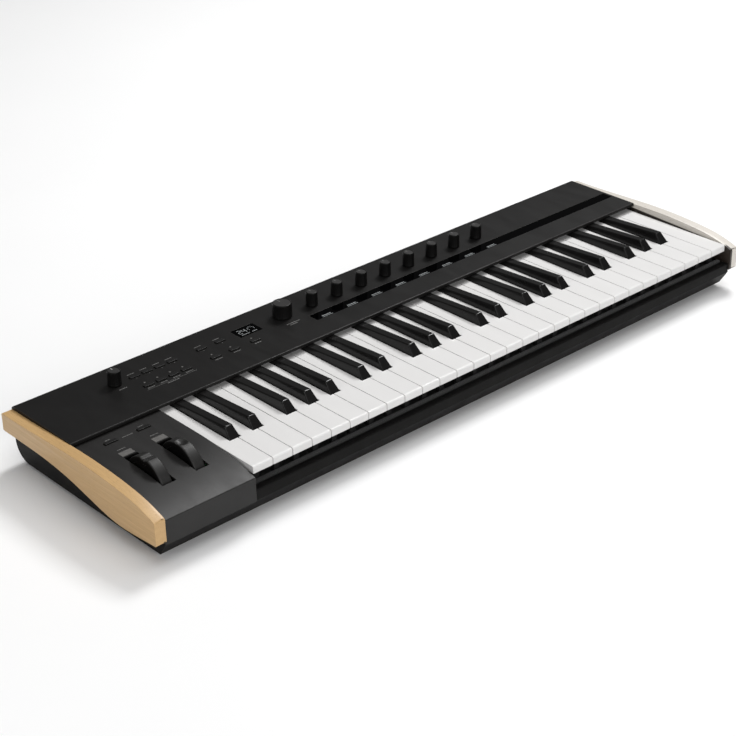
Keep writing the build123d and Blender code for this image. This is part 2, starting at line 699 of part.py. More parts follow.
with BuildPart() as socket_plate:
    block((socket_plate_x[0] + plate_gap, socket_plate_x[1] - plate_gap), (rear_inside, rear_y),
          (socket_plate_low_z + plate_gap, seam_z - plate_gap))
    with BuildSketch(Plane.XZ.offset(-rear_y)):
        with Locations(*[(x, socket_z) for x in jack_xs]):
            Circle(jack_bush)
        with Locations(*[(x, socket_z) for x in din_xs]):
            Circle(din_bore + din_rim + plate_gap)
        with Locations((usb_x, socket_z)):
            RectangleRounded(usb_size[0] + 2 * (usb_rim + plate_gap), usb_size[1] + 2 * (usb_rim + plate_gap),
                             usb_round + usb_rim)
    extrude(amount=wall, mode=Mode.SUBTRACT)
save(socket_plate, "socket_plate")

# ---- Feet and screws ----------------------------------------------------------------------
with BuildPart() as rubber_feet:
    z_rod(foot_radius, [(x, y) for x in foot_xs for y in foot_ys], (0, foot_height))
    fillet(rubber_feet.edges().filter_by(GeomType.CIRCLE).group_by(Axis.Z)[0], 1.2)
save(rubber_feet, "rubber_feet")

head_thick = 1.6
with BuildPart() as screws:
    case_screw_points = [(x, y) for x in case_screw_xs for y in case_screw_ys]
    z_rod(screw_head_radius, case_screw_points, (foot_height - head_thick, foot_height))
    z_rod(screw_radius, case_screw_points, (foot_height, frame_z + 1.5))
    inner_wall_x = body_half - end_wall
    for screw_y, screw_z in cheek_screw_points:
        for side in (-1, 1):
            head = sorted((side * (inner_wall_x - head_thick), side * inner_wall_x))
            shank = sorted((side * inner_wall_x, side * (body_half + screw_in_wood)))
            x_rod(screw_head_radius, head, screw_y, screw_z)
            x_rod(screw_radius, shank, screw_y, screw_z)
save(screws, "screws")
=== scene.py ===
"""Looks of a controller keyboard: materials, fine pieces, floor, lights and camera.

Units are metres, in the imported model's own frame. Distances written as n * MM are millimetres.
"""
import json
import math
import random

import bmesh
import bpy
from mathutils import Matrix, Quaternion, Vector

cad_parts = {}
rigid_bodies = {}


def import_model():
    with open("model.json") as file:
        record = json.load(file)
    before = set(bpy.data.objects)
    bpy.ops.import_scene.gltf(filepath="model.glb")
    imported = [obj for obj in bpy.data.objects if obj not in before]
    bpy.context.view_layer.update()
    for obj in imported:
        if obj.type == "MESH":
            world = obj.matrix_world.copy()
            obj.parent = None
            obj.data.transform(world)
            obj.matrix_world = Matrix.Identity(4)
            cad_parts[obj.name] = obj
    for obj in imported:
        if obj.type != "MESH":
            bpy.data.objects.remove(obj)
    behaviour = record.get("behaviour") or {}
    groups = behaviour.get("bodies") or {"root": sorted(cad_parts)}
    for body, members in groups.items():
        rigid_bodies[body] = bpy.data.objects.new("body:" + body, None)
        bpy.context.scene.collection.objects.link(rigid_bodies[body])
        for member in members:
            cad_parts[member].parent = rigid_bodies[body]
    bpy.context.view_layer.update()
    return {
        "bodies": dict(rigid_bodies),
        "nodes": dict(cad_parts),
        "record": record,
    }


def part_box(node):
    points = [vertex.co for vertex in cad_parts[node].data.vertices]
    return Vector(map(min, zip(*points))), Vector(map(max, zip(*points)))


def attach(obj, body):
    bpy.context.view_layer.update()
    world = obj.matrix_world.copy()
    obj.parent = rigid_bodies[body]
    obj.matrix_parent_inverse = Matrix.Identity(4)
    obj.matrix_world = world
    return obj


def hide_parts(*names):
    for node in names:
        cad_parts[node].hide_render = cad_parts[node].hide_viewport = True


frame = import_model()
nodes = frame["nodes"]
MM = 0.001


# ---- Shader building blocks ------------------------------------------------------
def new_material(name):
    """Material with its node tree and its Principled shader."""
    material = bpy.data.materials.new(name)
    material.use_nodes = True
    return material, material.node_tree, material.node_tree.nodes["Principled BSDF"]


def place(tree, stretch=(1.0, 1.0, 1.0)):
    """Object coordinates in metres, stretched along each axis."""
    coordinate = tree.nodes.new("ShaderNodeTexCoord")
    mapping = tree.nodes.new("ShaderNodeMapping")
    mapping.inputs["Scale"].default_value = stretch
    tree.links.new(coordinate.outputs["Object"], mapping.inputs["Vector"])
    return mapping.outputs["Vector"]


def noise(tree, vector, scale, detail=3.0, roughness=0.5, distortion=0.0):
    """Value of a noise pattern."""
    node = tree.nodes.new("ShaderNodeTexNoise")
    node.inputs["Scale"].default_value = scale
    node.inputs["Detail"].default_value = detail
    node.inputs["Roughness"].default_value = roughness
    node.inputs["Distortion"].default_value = distortion
    tree.links.new(vector, node.inputs["Vector"])
    return node.outputs["Fac"]


def remap(tree, value, source, target):
    """Value moved from one range to another, and kept inside it."""
    node = tree.nodes.new("ShaderNodeMapRange")
    node.inputs["From Min"].default_value, node.inputs["From Max"].default_value = source
    node.inputs["To Min"].default_value, node.inputs["To Max"].default_value = target
    tree.links.new(value, node.inputs["Value"])
    return node.outputs["Result"]


def math_node(tree, operation, first, second=None):
    """One arithmetic step on values or sockets."""
    node = tree.nodes.new("ShaderNodeMath")
    node.operation = operation
    for socket, value in zip(node.inputs, (first, second)):
        if isinstance(value, (int, float)):
            socket.default_value = value
        elif value is not None:
            tree.links.new(value, socket)
    return node.outputs["Value"]


def mix(tree, factor, first, second):
    """Colour between two colours, each given as a tuple or a socket."""
    node = tree.nodes.new("ShaderNodeMix")
    node.data_type = "RGBA"
    tree.links.new(factor, node.inputs["Factor"])
    colour_inputs = [socket for socket in node.inputs if socket.type == "RGBA"]
    for socket, colour in zip(colour_inputs, (first, second)):
        if isinstance(colour, tuple):
            socket.default_value = (*colour, 1.0)
        else:
            tree.links.new(colour, socket)
    return next(socket for socket in node.outputs if socket.type == "RGBA")


def bump(tree, height, depth, normal=None):
    """Surface relief of the given depth in metres."""
    node = tree.nodes.new("ShaderNodeBump")
    node.inputs["Strength"].default_value = 1.0
    node.inputs["Distance"].default_value = depth
    tree.links.new(height, node.inputs["Height"])
    if normal is not None:
        tree.links.new(normal, node.inputs["Normal"])
    return node.outputs["Normal"]


def soft_edges(tree, radius):
    """Normal that rounds sharp edges, and how far each point is on an edge, from 0 to 1."""
    bevel = tree.nodes.new("ShaderNodeBevel")
    bevel.samples = 4
    bevel.inputs["Radius"].default_value = radius
    geometry = tree.nodes.new("ShaderNodeNewGeometry")
    dot = tree.nodes.new("ShaderNodeVectorMath")
    dot.operation = "DOT_PRODUCT"
    tree.links.new(bevel.outputs["Normal"], dot.inputs[0])
    tree.links.new(geometry.outputs["Normal"], dot.inputs[1])
    edge = remap(tree, dot.outputs["Value"], (1.0, 0.85), (0.0, 1.0))
    return bevel.outputs["Normal"], edge


def scaled(colour, factor):
    """A colour made lighter or darker."""
    return tuple(min(channel * factor, 1.0) for channel in colour)


def moulded(name, colour, roughness, grain, grain_depth, specular=0.2, wear_and_highlight=1.6, edge=0.4 * MM, coat=0.0,
            unbroken=0.1):
    """Moulded or painted surface: cloudy colour, fine grain, uneven gloss and paler edges, which stand for
    wear and for a painted edge highlight.
    """
    material, tree, shader = new_material(name)
    vector = place(tree)
    clouds = remap(tree, noise(tree, vector, 22.0, 4.0), (0.3, 0.7), (0.0, 1.0))
    fine = noise(tree, vector, grain, 2.0, 0.6)
    smears = noise(tree, place(tree, (60.0, 14.0, 60.0)), 1.0, 5.0, 0.65, 0.6)
    normal, on_edge = soft_edges(tree, edge)
    patchy = remap(tree, noise(tree, vector, 260.0, 4.0), (0.42, 0.6), (unbroken, 1.0))
    # Paler edges: wear, plus a painted highlight where rounded edges would catch the light.
    worn = math_node(tree, "MULTIPLY", on_edge, patchy)
    body = mix(tree, clouds, scaled(colour, 0.86), scaled(colour, 1.12))
    speckled = mix(tree, remap(tree, fine, (0.45, 0.75), (0.0, 0.5)), body, scaled(colour, 1.5))
    tree.links.new(mix(tree, worn, speckled, scaled(colour, wear_and_highlight)), shader.inputs["Base Color"])
    gloss = remap(tree, smears, (0.3, 0.7), (roughness * 0.88, roughness * 1.14))
    tree.links.new(gloss, shader.inputs["Roughness"])
    tree.links.new(bump(tree, fine, grain_depth, normal), shader.inputs["Normal"])
    shader.inputs["Specular IOR Level"].default_value = specular
    if coat:
        shader.inputs["Coat Weight"].default_value = coat
        shader.inputs["Coat Roughness"].default_value = 0.12
    return material


def key_surface(name, colour, roughness, specular, spread, streak_depth, coat, worn, pitch):
    """Polished key: small difference between keys, lengthwise polishing lines, skirts darker towards the
    bottom and paler edges for wear and a painted highlight.
    """
    material, tree, shader = new_material(name)
    vector = place(tree)
    split = tree.nodes.new("ShaderNodeSeparateXYZ")
    tree.links.new(vector, split.inputs["Vector"])
    number = math_node(tree, "FLOOR", math_node(tree, "DIVIDE", split.outputs["X"], pitch))
    random_tone = tree.nodes.new("ShaderNodeTexWhiteNoise")
    random_tone.noise_dimensions = "1D"
    tree.links.new(number, random_tone.inputs["W"])
    clouds = noise(tree, vector, 30.0, 4.0, 0.55)
    tone = math_node(tree, "ADD", math_node(tree, "MULTIPLY", random_tone.outputs["Value"], 0.5),
                     math_node(tree, "MULTIPLY", clouds, 0.5))
    body = mix(tree, tone, scaled(colour, 1.0 - spread), scaled(colour, 1.0 + spread))
    # The colour darkens towards the bottom of the skirts, by the factor worn.
    skirt = remap(tree, split.outputs["Z"], (key_low_z, key_low_z + SKIRT_FADE), (0.85, 0.0))
    skirt_darkened = mix(tree, skirt, body, scaled(colour, worn))
    streaks = noise(tree, place(tree, (2600.0, 45.0, 900.0)), 1.0, 2.0, 0.5)
    touched = noise(tree, place(tree, (70.0, 26.0, 70.0)), 1.0, 4.0, 0.6, 0.8)
    normal, on_edge = soft_edges(tree, KEY_EDGE)
    # Paler rounded edges: wear and a painted highlight.
    tree.links.new(mix(tree, remap(tree, on_edge, (0.0, 1.0), (0.0, 0.25)), skirt_darkened, scaled(colour, 1.08)),
                   shader.inputs["Base Color"])
    gloss = remap(tree, touched, (0.35, 0.7), (roughness * 0.85, roughness * 1.2))
    tree.links.new(gloss, shader.inputs["Roughness"])
    tree.links.new(bump(tree, streaks, streak_depth, normal), shader.inputs["Normal"])
    shader.inputs["Specular IOR Level"].default_value = specular
    shader.inputs["Coat Weight"].default_value = coat
    shader.inputs["Coat Roughness"].default_value = 0.07
    return material


def oiled_wood(name, light, dark, pore, painted_shade=None):
    """Straight-grained hardwood: growth bands, fibres along Y, short dark pores and a thin oil sheen.

    With a painted shade colour given, the wood is that colour up to a line that rises from the front to the
    rear: painted shade on the side that faces the keys.
    """
    material, tree, shader = new_material(name)
    rings = tree.nodes.new("ShaderNodeTexWave")
    rings.wave_type = "BANDS"
    rings.bands_direction = "Z"
    rings.inputs["Scale"].default_value = 1.0
    rings.inputs["Distortion"].default_value = 5.5
    rings.inputs["Detail"].default_value = 4.0
    rings.inputs["Detail Scale"].default_value = 1.2
    tree.links.new(place(tree, (55.0, 3.2, 48.0)), rings.inputs["Vector"])
    fibres = noise(tree, place(tree, (1500.0, 26.0, 1500.0)), 1.0, 5.0, 0.62)
    patches = noise(tree, place(tree, (40.0, 9.0, 40.0)), 1.0, 3.0, 0.5, 0.5)
    pores = noise(tree, place(tree, (2400.0, 110.0, 2400.0)), 1.0, 2.0, 0.5)
    band = mix(tree, remap(tree, rings.outputs["Fac"], (0.15, 0.85), (0.1, 0.32)), light, dark)
    toned = mix(tree, remap(tree, patches, (0.3, 0.75), (0.0, 0.5)), band, scaled(light, 1.08))
    fibred = mix(tree, remap(tree, fibres, (0.35, 0.7), (0.0, 0.5)), toned, scaled(dark, 0.92))
    pitted = mix(tree, remap(tree, pores, (0.64, 0.74), (0.0, 0.6)), fibred, pore)
    normal, on_edge = soft_edges(tree, WOOD_EDGE)
    # Paler rounded edges: painted highlight along the cheek's edges.
    wood_with_painted_light = mix(tree, remap(tree, on_edge, (0.0, 1.0), (0.0, 0.5)), pitted, scaled(light, 1.25))
    # Below a line that rises to the rear, the colour is painted shade where the cheek stands beside the keys
    # and case.
    if painted_shade:
        split = tree.nodes.new("ShaderNodeSeparateXYZ")
        tree.links.new(place(tree), split.inputs["Vector"])
        rise = math_node(tree, "MULTIPLY", split.outputs["Y"], -SHADE_LINE_SLOPE)
        level = math_node(tree, "ADD", split.outputs["Z"], rise)
        above = remap(tree, level, (SHADE_LINE_Z - 1 * MM, SHADE_LINE_Z), (0.0, 1.0))
        streaked_shade = mix(tree, fibres, scaled(painted_shade, 1.6), scaled(painted_shade, 0.5))
        wood_with_painted_light = mix(tree, above, streaked_shade, wood_with_painted_light)
    tree.links.new(wood_with_painted_light, shader.inputs["Base Color"])
    tree.links.new(remap(tree, fibres, (0.3, 0.7), (0.36, 0.52)), shader.inputs["Roughness"])
    relief = math_node(tree, "SUBTRACT", fibres, remap(tree, pores, (0.62, 0.76), (0.0, 0.8)))
    tree.links.new(bump(tree, relief, 0.05 * MM, normal), shader.inputs["Normal"])
    shader.inputs["Coat Weight"].default_value = 0.15
    shader.inputs["Coat Roughness"].default_value = 0.3
    return material


def brushed_metal(name, colour, roughness):
    """Bright plated steel with fine turning lines and dull spots."""
    material, tree, shader = new_material(name)
    lines = noise(tree, place(tree, (4200.0, 300.0, 4200.0)), 1.0, 2.0)
    spots = noise(tree, place(tree), 420.0, 4.0, 0.6)
    tree.links.new(mix(tree, remap(tree, spots, (0.4, 0.7), (0.0, 1.0)), colour, scaled(colour, 0.7)),
                   shader.inputs["Base Color"])
    tree.links.new(remap(tree, spots, (0.3, 0.7), (roughness, roughness * 1.5)), shader.inputs["Roughness"])
    tree.links.new(bump(tree, lines, 0.01 * MM), shader.inputs["Normal"])
    shader.inputs["Metallic"].default_value = 1.0
    return material


def smoked_glass(name):
    """Near-black polished lens with faint wipe marks and dust."""
    material, tree, shader = new_material(name)
    wipes = noise(tree, place(tree, (35.0, 90.0, 35.0)), 1.0, 5.0, 0.6, 1.2)
    dust = noise(tree, place(tree), 900.0, 3.0, 0.7)
    specks = remap(tree, dust, (0.62, 0.75), (0.0, 0.3))
    tree.links.new(mix(tree, specks, GLASS, GLASS_DUST), shader.inputs["Base Color"])
    tree.links.new(remap(tree, wipes, (0.35, 0.7), (0.03, 0.10)), shader.inputs["Roughness"])
    tree.links.new(bump(tree, wipes, 0.01 * MM), shader.inputs["Normal"])
    shader.inputs["Specular IOR Level"].default_value = 0.025
    return material


def milky_plastic(name, colour):
    """Light diffuser: translucent milky plastic with fine grain."""
    material, tree, shader = new_material(name)
    cloud = noise(tree, place(tree), 300.0, 3.0)
    fine = noise(tree, place(tree), 2500.0, 2.0)
    tree.links.new(mix(tree, cloud, scaled(colour, 0.85), scaled(colour, 1.15)), shader.inputs["Base Color"])
    tree.links.new(remap(tree, fine, (0.3, 0.7), (0.35, 0.5)), shader.inputs["Roughness"])
    tree.links.new(bump(tree, fine, 0.02 * MM), shader.inputs["Normal"])
    shader.inputs["Subsurface Weight"].default_value = 0.2
    shader.inputs["Subsurface Radius"].default_value = (1 * MM, 1 * MM, 1 * MM)
    return material


def printed_ink(name, colour, worn):
    """Screen-printed ink that is thin and slightly broken."""
    material, tree, shader = new_material(name)
    cover = noise(tree, place(tree), 1400.0, 3.0, 0.6)
    thin = remap(tree, cover, (0.5, 0.72), (0.0, 0.8))
    tree.links.new(mix(tree, thin, colour, worn), shader.inputs["Base Color"])
    tree.links.new(remap(tree, cover, (0.3, 0.7), (0.45, 0.65)), shader.inputs["Roughness"])
    tree.links.new(bump(tree, cover, 0.01 * MM), shader.inputs["Normal"])
    return material


def lit_pixels(name, colour, strength):
    """Display segments: a softly glowing dot pattern."""
    material, tree, shader = new_material(name)
    dots = tree.nodes.new("ShaderNodeTexVoronoi")
    dots.inputs["Scale"].default_value = 2600.0
    dots.inputs["Randomness"].default_value = 0.0
    tree.links.new(place(tree), dots.inputs["Vector"])
    lit = remap(tree, dots.outputs["Distance"], (0.35, 0.6), (1.0, 0.55))
    tree.links.new(mix(tree, lit, scaled(colour, 0.5), colour), shader.inputs["Base Color"])
    tree.links.new(mix(tree, lit, scaled(colour, 0.5), colour), shader.inputs["Emission Color"])
    shader.inputs["Emission Strength"].default_value = strength
    shader.inputs["Roughness"].default_value = 0.3
    return material


def woven_felt(name, colour):
    """Pressed felt with short loose fibres."""
    material, tree, shader = new_material(name)
    fibres = noise(tree, place(tree, (1800.0, 900.0, 1800.0)), 1.0, 5.0, 0.7, 1.0)
    tree.links.new(mix(tree, fibres, scaled(colour, 0.6), scaled(colour, 1.8)), shader.inputs["Base Color"])
    tree.links.new(bump(tree, fibres, 0.2 * MM), shader.inputs["Normal"])
    shader.inputs["Roughness"].default_value = 0.95
    shader.inputs["Sheen Weight"].default_value = 0.3
    return material


# ---- Materials ---------------------------------------------------------------------
BLACK = (0.0065, 0.0062, 0.0060)
PANEL = (0.0078, 0.0074, 0.0072)
HOUSING = (0.0110, 0.0104, 0.0100)
KNOB = (0.0045, 0.0043, 0.0042)
WOOD_LIGHT = (0.56, 0.36, 0.158)
WOOD_DARK = (0.44, 0.265, 0.105)
PALE_LIGHT = (0.66, 0.625, 0.57)
PALE_DARK = (0.56, 0.52, 0.465)
WOOD_PORE = (0.20, 0.11, 0.05)
# Colour of the painted shade on the right cheek's side next to the keys, and the sloping line that bounds it.
SHADE_COLOUR = (0.022, 0.016, 0.012)
GLASS = (0.0006, 0.0006, 0.0007)
GLASS_DUST = (0.006, 0.006, 0.006)
SHADE_LINE_SLOPE = 0.04
WOOD_EDGE = 0.5 * MM
KEY_EDGE = 0.35 * MM
KEY_SKIRT = 7.5 * MM
SKIRT_FADE = 6 * MM
KEY_PITCH = 23.5 * MM
key_low_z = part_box("keys_c")[1].z - KEY_SKIRT
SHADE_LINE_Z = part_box("keys_c")[1].z + 3 * MM
finishes = {
    "white_key": key_surface("ivory_plastic", (0.70, 0.692, 0.685), 0.34, 0.3, 0.008, 0.0006 * MM, 0.06, 0.97,
                             KEY_PITCH),
    "black_key": key_surface("ebony_plastic", (0.0060, 0.0057, 0.0056), 0.32, 0.10, 0.12, 0.008 * MM, 0.4,
                             0.8, KEY_PITCH * 7 / 12),
    "knob_plastic": moulded("knob_black", KNOB, 0.40, 1900.0, 0.02 * MM, 0.14, 2.6),
    "wheel_plastic": moulded("wheel_grey", (0.016, 0.0155, 0.015), 0.42, 1700.0, 0.03 * MM, 0.25, 2.0),
    "button_plastic": moulded("button_black", BLACK, 0.40, 2100.0, 0.015 * MM, 0.25, 3.0),
    "case_plastic": moulded("case_black", BLACK, 0.50, 1500.0, 0.045 * MM, 0.07, 2.4),
    # The strong edge lightening here paints a highlight line along the panel's front edge.
    "panel_finish": moulded("panel_black", PANEL, 0.40, 1700.0, 0.02 * MM, 0.17, 8.0, 0.6 * MM, unbroken=0.6),
    "housing_plastic": moulded("housing_charcoal", HOUSING, 0.44, 1500.0, 0.03 * MM, 0.33, 2.6, 0.5 * MM),
    "cheek_wood": oiled_wood("oiled_hardwood", WOOD_LIGHT, WOOD_DARK, WOOD_PORE),
    "frame_plastic": moulded("frame_black", (0.012, 0.012, 0.012), 0.55, 900.0, 0.05 * MM),
    "steel": brushed_metal("plated_steel", (0.56, 0.56, 0.55), 0.28),
    "felt": woven_felt("black_felt", (0.015, 0.015, 0.015)),
    "rubber": moulded("black_rubber", (0.012, 0.012, 0.012), 0.75, 1100.0, 0.06 * MM, 0.2, 1.4),
    "board": moulded("board_green", (0.012, 0.06, 0.022), 0.35, 700.0, 0.03 * MM, 0.5, 1.4, coat=0.3),
    "display_glass": smoked_glass("smoked_lens"),
    "display_module": smoked_glass("display_face"),
    "light_lens": milky_plastic("milky_diffuser", (0.115, 0.111, 0.106)),
    "socket_plastic": moulded("socket_black", BLACK, 0.45, 1300.0, 0.03 * MM, 0.25, 1.8),
}
pale_wood = oiled_wood("pale_hardwood", PALE_LIGHT, PALE_DARK, WOOD_PORE)
# Right cheek's side next to the keys: pale wood with painted shade below a sloping line.
shaded_wood = oiled_wood("shaded_hardwood", PALE_LIGHT, PALE_DARK, WOOD_PORE, SHADE_COLOUR)
# Darker material for the wheels' flat sides: painted shade from the slot.
wheel_side_shade = moulded("wheel_side_shade", KNOB, 0.5, 1500.0, 0.03 * MM, 0.1, 2.0)
knob_cap = moulded("knob_cap", (0.022, 0.0212, 0.0208), 0.45, 2200.0, 0.015 * MM, 0.3, 1.4)
print_grey = printed_ink("print_grey", (0.13, 0.128, 0.125), (0.045, 0.044, 0.043))
print_pale = printed_ink("print_pale", (0.40, 0.39, 0.38), (0.12, 0.12, 0.12))
display_white = lit_pixels("display_white", (0.30, 0.315, 0.32), 0.10)

for sub_part in frame["record"]["subparts"]:
    node = nodes[sub_part["node"]]
    for material_slot in node.material_slots:
        material_slot.material = finishes[sub_part["material_slot"]]


# ---- Mesh building blocks -----------------------------------------------------------
def make_piece(name, mesh, materials, body, replaced=None, sharp=35.0):
    """Object from a bmesh: smooth faces, sharp edges by angle, riding on a body."""
    bmesh.ops.recalc_face_normals(mesh, faces=mesh.faces)
    data = bpy.data.meshes.new(name)
    mesh.to_mesh(data)
    mesh.free()
    data.polygons.foreach_set("use_smooth", [True] * len(data.polygons))
    data.set_sharp_from_angle(angle=math.radians(sharp))
    for material in materials:
        data.materials.append(material)
    piece = bpy.data.objects.new(name, data)
    bpy.context.scene.collection.objects.link(piece)
    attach(piece, body)
    if replaced:
        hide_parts(replaced)
    return piece


def ring_surface(mesh, rings, material_index=0, close_start=True, close_end=True):
    """Skin over rings with equal point counts, closed at its ends by fans or caps."""
    loops = [[mesh.verts.new(point) for point in ring] for ring in rings]
    count = len(loops[0])
    for lower, upper in zip(loops, loops[1:]):
        for index in range(count):
            after = (index + 1) % count
            face = mesh.faces.new((lower[index], lower[after], upper[after], upper[index]))
            face.material_index = material_index
    for loop, wanted in ((loops[0], close_start), (loops[-1], close_end)):
        if wanted:
            mesh.faces.new(loop).material_index = material_index
    return loops


def rounded_plate(mesh, centre, size, corner, z, thick, material_index=0, angle=0.0):
    """Thin flat plate with rounded corners, used for prints, pointer lines and display segments."""
    half_x, half_y = size[0] / 2, size[1] / 2
    corner = min(corner, half_x, half_y)
    points = []
    for quarter, (sign_x, sign_y) in enumerate(((1, 1), (-1, 1), (-1, -1), (1, -1))):
        for step in range(4):
            turn = math.pi / 2 * (quarter + step / 3)
            points.append((sign_x * (half_x - corner) + corner * math.cos(turn),
                           sign_y * (half_y - corner) + corner * math.sin(turn)))
    cosine, sine = math.cos(angle), math.sin(angle)
    turned = [(centre[0] + x * cosine - y * sine, centre[1] + x * sine + y * cosine) for x, y in points]
    ring_surface(mesh, [[(x, y, level) for x, y in turned] for level in (z, z + thick)], material_index)


# ---- Knobs ---------------------------------------------------------------------------
FLUTE_DEPTH = 0.2 * MM
POINTS_PER_FLUTE = 6
KNOB_HEIGHT = 15.4 * MM
KNOB_SHAFT = 2.9 * MM
CAP_INSET = 1.3 * MM
CAP_CHAMFER = 0.15 * MM
CAP_SINK = 0.35 * MM
CAP_DISH = 0.12 * MM
POINTER_WIDTH = 0.9 * MM
POINTER_THICK = 0.25 * MM


def knob_rings(centre, radius, low_z, high_z, flutes):
    """Rings of a fluted knob from its skirt up to the rim of its cap."""
    count = flutes * POINTS_PER_FLUTE
    # Millimetres above the skirt or below the top, change of radius, and share of the flutes' depth
    skirt = [(0.0, -0.35, 0.0), (0.35, 0.0, 0.0), (1.5, 0.0, 0.0), (1.9, -0.1, 0.0), (2.4, -0.1, 1.0)]
    shoulder = [(2.2, -0.3, 1.0), (1.5, -0.3, 0.0), (0.8, -0.35, 0.0), (0.3, -0.55, 0.0), (0.05, -0.95, 0.0)]
    profile = [(low_z + above * MM, change * MM, fluted) for above, change, fluted in skirt]
    profile += [(high_z - below * MM, change * MM, fluted) for below, change, fluted in shoulder]
    rings = []
    for z, change, fluted in profile:
        ring = []
        for index in range(count):
            turn = 2 * math.pi * index / count
            groove = max(0.0, math.cos(flutes * turn)) ** 0.7 * FLUTE_DEPTH * fluted
            reach = radius + change - groove
            ring.append((centre[0] + reach * math.cos(turn), centre[1] + reach * math.sin(turn), z))
        rings.append(ring)
    return rings


def circle(centre, radius, z, count):
    """Points of a level circle."""
    return [(centre[0] + radius * math.cos(2 * math.pi * index / count),
             centre[1] + radius * math.sin(2 * math.pi * index / count), z) for index in range(count)]


def knob(name, flutes, ink):
    """Fluted knob with a recessed cap, a pointer line in the cap and its shaft."""
    low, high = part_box(name)
    centre = ((low.x + high.x) / 2, (low.y + high.y) / 2)
    radius = (high.x - low.x) / 2
    skirt_z = high.z - KNOB_HEIGHT
    rings = knob_rings(centre, radius, skirt_z, high.z, flutes)
    count = len(rings[0])
    cap_radius = radius - CAP_INSET
    mesh = bmesh.new()
    shaft = [circle(centre, KNOB_SHAFT, z, count) for z in (low.z, skirt_z)]
    cap_edge = circle(centre, cap_radius - CAP_CHAMFER, high.z - CAP_SINK, count)
    ring_surface(mesh, shaft + rings + [circle(centre, cap_radius, high.z, count), cap_edge], close_end=False)
    dish = [cap_edge]
    dish += [circle(centre, cap_radius * share, high.z - CAP_SINK - CAP_DISH * (1 - share), count)
             for share in (0.9, 0.6, 0.3, 0.06)]
    ring_surface(mesh, dish, 1, close_start=False)
    bmesh.ops.remove_doubles(mesh, verts=mesh.verts, dist=0.001 * MM)
    line_length = cap_radius * 0.62
    rounded_plate(mesh, (centre[0], centre[1] + cap_radius - line_length / 2 - 0.3 * MM),
                  (POINTER_WIDTH, line_length), 0.4 * MM, high.z - CAP_SINK - 0.15 * MM, POINTER_THICK, 2)
    make_piece(name + "_fluted", mesh, [finishes["knob_plastic"], knob_cap, ink], name, name)


for body_name in frame["bodies"]:
    if body_name.startswith("parameter_knob"):
        knob(body_name, 20, print_grey)
knob("volume_knob", 22, print_pale)
knob("value_dial", 36, print_grey)


# ---- Pitch and modulation wheels --------------------------------------------------------
WHEEL_HALF = 6 * MM
WEB_SINK = 1.6 * MM
SHOULDER = 1.5 * MM
RIM_DEPTH = 5.2 * MM
HUB_RADIUS = 9 * MM
HUB_EDGE = 0.3 * MM
WHEEL_BORE = 3.1 * MM
WHEEL_STEPS = 288


def wheel_profile(radius):
    """Across and outward places of a wheel's web, rim and tread, from one side to the other."""
    # The sunk web, the lip up to the rim's flat side, the round shoulder, and half of the tread
    web_x = -WHEEL_HALF + WEB_SINK
    profile = [(web_x, HUB_RADIUS), (web_x, radius - 6 * MM), (-WHEEL_HALF + 0.3 * MM, radius - 5 * MM),
               (-WHEEL_HALF, radius - 4.6 * MM), (-WHEEL_HALF, radius - 1.6 * MM)]
    for degrees in (20, 40, 60, 80):
        inward = SHOULDER * (1 - math.cos(math.radians(degrees)))
        profile.append((-WHEEL_HALF + inward, radius - SHOULDER * (1 - math.sin(math.radians(degrees)))))
    for share in (0.0, 0.125, 0.25, 0.375, 0.5):
        profile.append((web_x - 2 * web_x * share, radius))
    return profile + [(-across, reach) for across, reach in reversed(profile[:-1])]


def around_x(centre, profile, depth_at=None):
    """Rings about a line along X, from across and outward places, sunk where a depth is given."""
    rings = []
    for across, reach in profile:
        ring = []
        for step in range(WHEEL_STEPS):
            turn = 2 * math.pi * step / WHEEL_STEPS
            out = reach - depth_at(turn, across, reach) if depth_at else reach
            ring.append((centre[0] + across, centre[1] + out * math.cos(turn),
                         centre[2] + out * math.sin(turn)))
        rings.append(ring)
    return rings


def wheel(name, notch):
    """Thumb wheel with a soft-shouldered tread, dished sides, a hub and a thumb notch or dimple."""
    low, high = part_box(name)
    radius = (high.y - low.y) / 2
    centre = ((low.x + high.x) / 2, (low.y + high.y) / 2, low.z + radius)
    mesh = bmesh.new()

    def tread_depth(turn, across, reach):
        """Depth of the thumb notch, which reaches only the rim and never the hub."""
        if reach <= radius - RIM_DEPTH:
            return 0.0
        return min(notch((turn - math.pi / 2) * radius, across), reach - HUB_RADIUS)

    outside = around_x(centre, wheel_profile(radius), tread_depth)
    ring_surface(mesh, outside, close_start=False, close_end=False)
    hub_half = (high.x - low.x) / 2
    hub_side = [(-WHEEL_HALF + WEB_SINK, HUB_RADIUS), (-hub_half + HUB_EDGE, HUB_RADIUS),
                (-hub_half, HUB_RADIUS - HUB_EDGE), (-hub_half, WHEEL_BORE)]
    hub = hub_side + [(-across, reach) for across, reach in reversed(hub_side)]
    ring_surface(mesh, around_x(centre, hub), close_start=False, close_end=False)
    bmesh.ops.remove_doubles(mesh, verts=mesh.verts, dist=0.001 * MM)
    mesh.normal_update()
    # Faces across the wheel take the darker material: painted shade on its sides.
    for face in mesh.faces:
        face.material_index = int(abs(face.normal.x) > 0.75)
    materials = [finishes["wheel_plastic"], wheel_side_shade]
    make_piece(name + "_tread", mesh, materials, name, name, 45.0)


GROOVE_DEPTH = 2.2 * MM
GROOVE_REACH = 4.2 * MM
BAR_HEIGHT = 1.3 * MM
BAR_REACH = 0.9 * MM
DIMPLE_DEPTH = 2.6 * MM
DIMPLE_RADIUS = 5.9 * MM


def thumb_groove(along, across):
    """Depth of a groove right across the tread, with a small raised bar in its middle."""
    depth = GROOVE_DEPTH * math.exp(-(along / GROOVE_REACH) ** 4)
    return depth - BAR_HEIGHT * math.exp(-(along / BAR_REACH) ** 4)


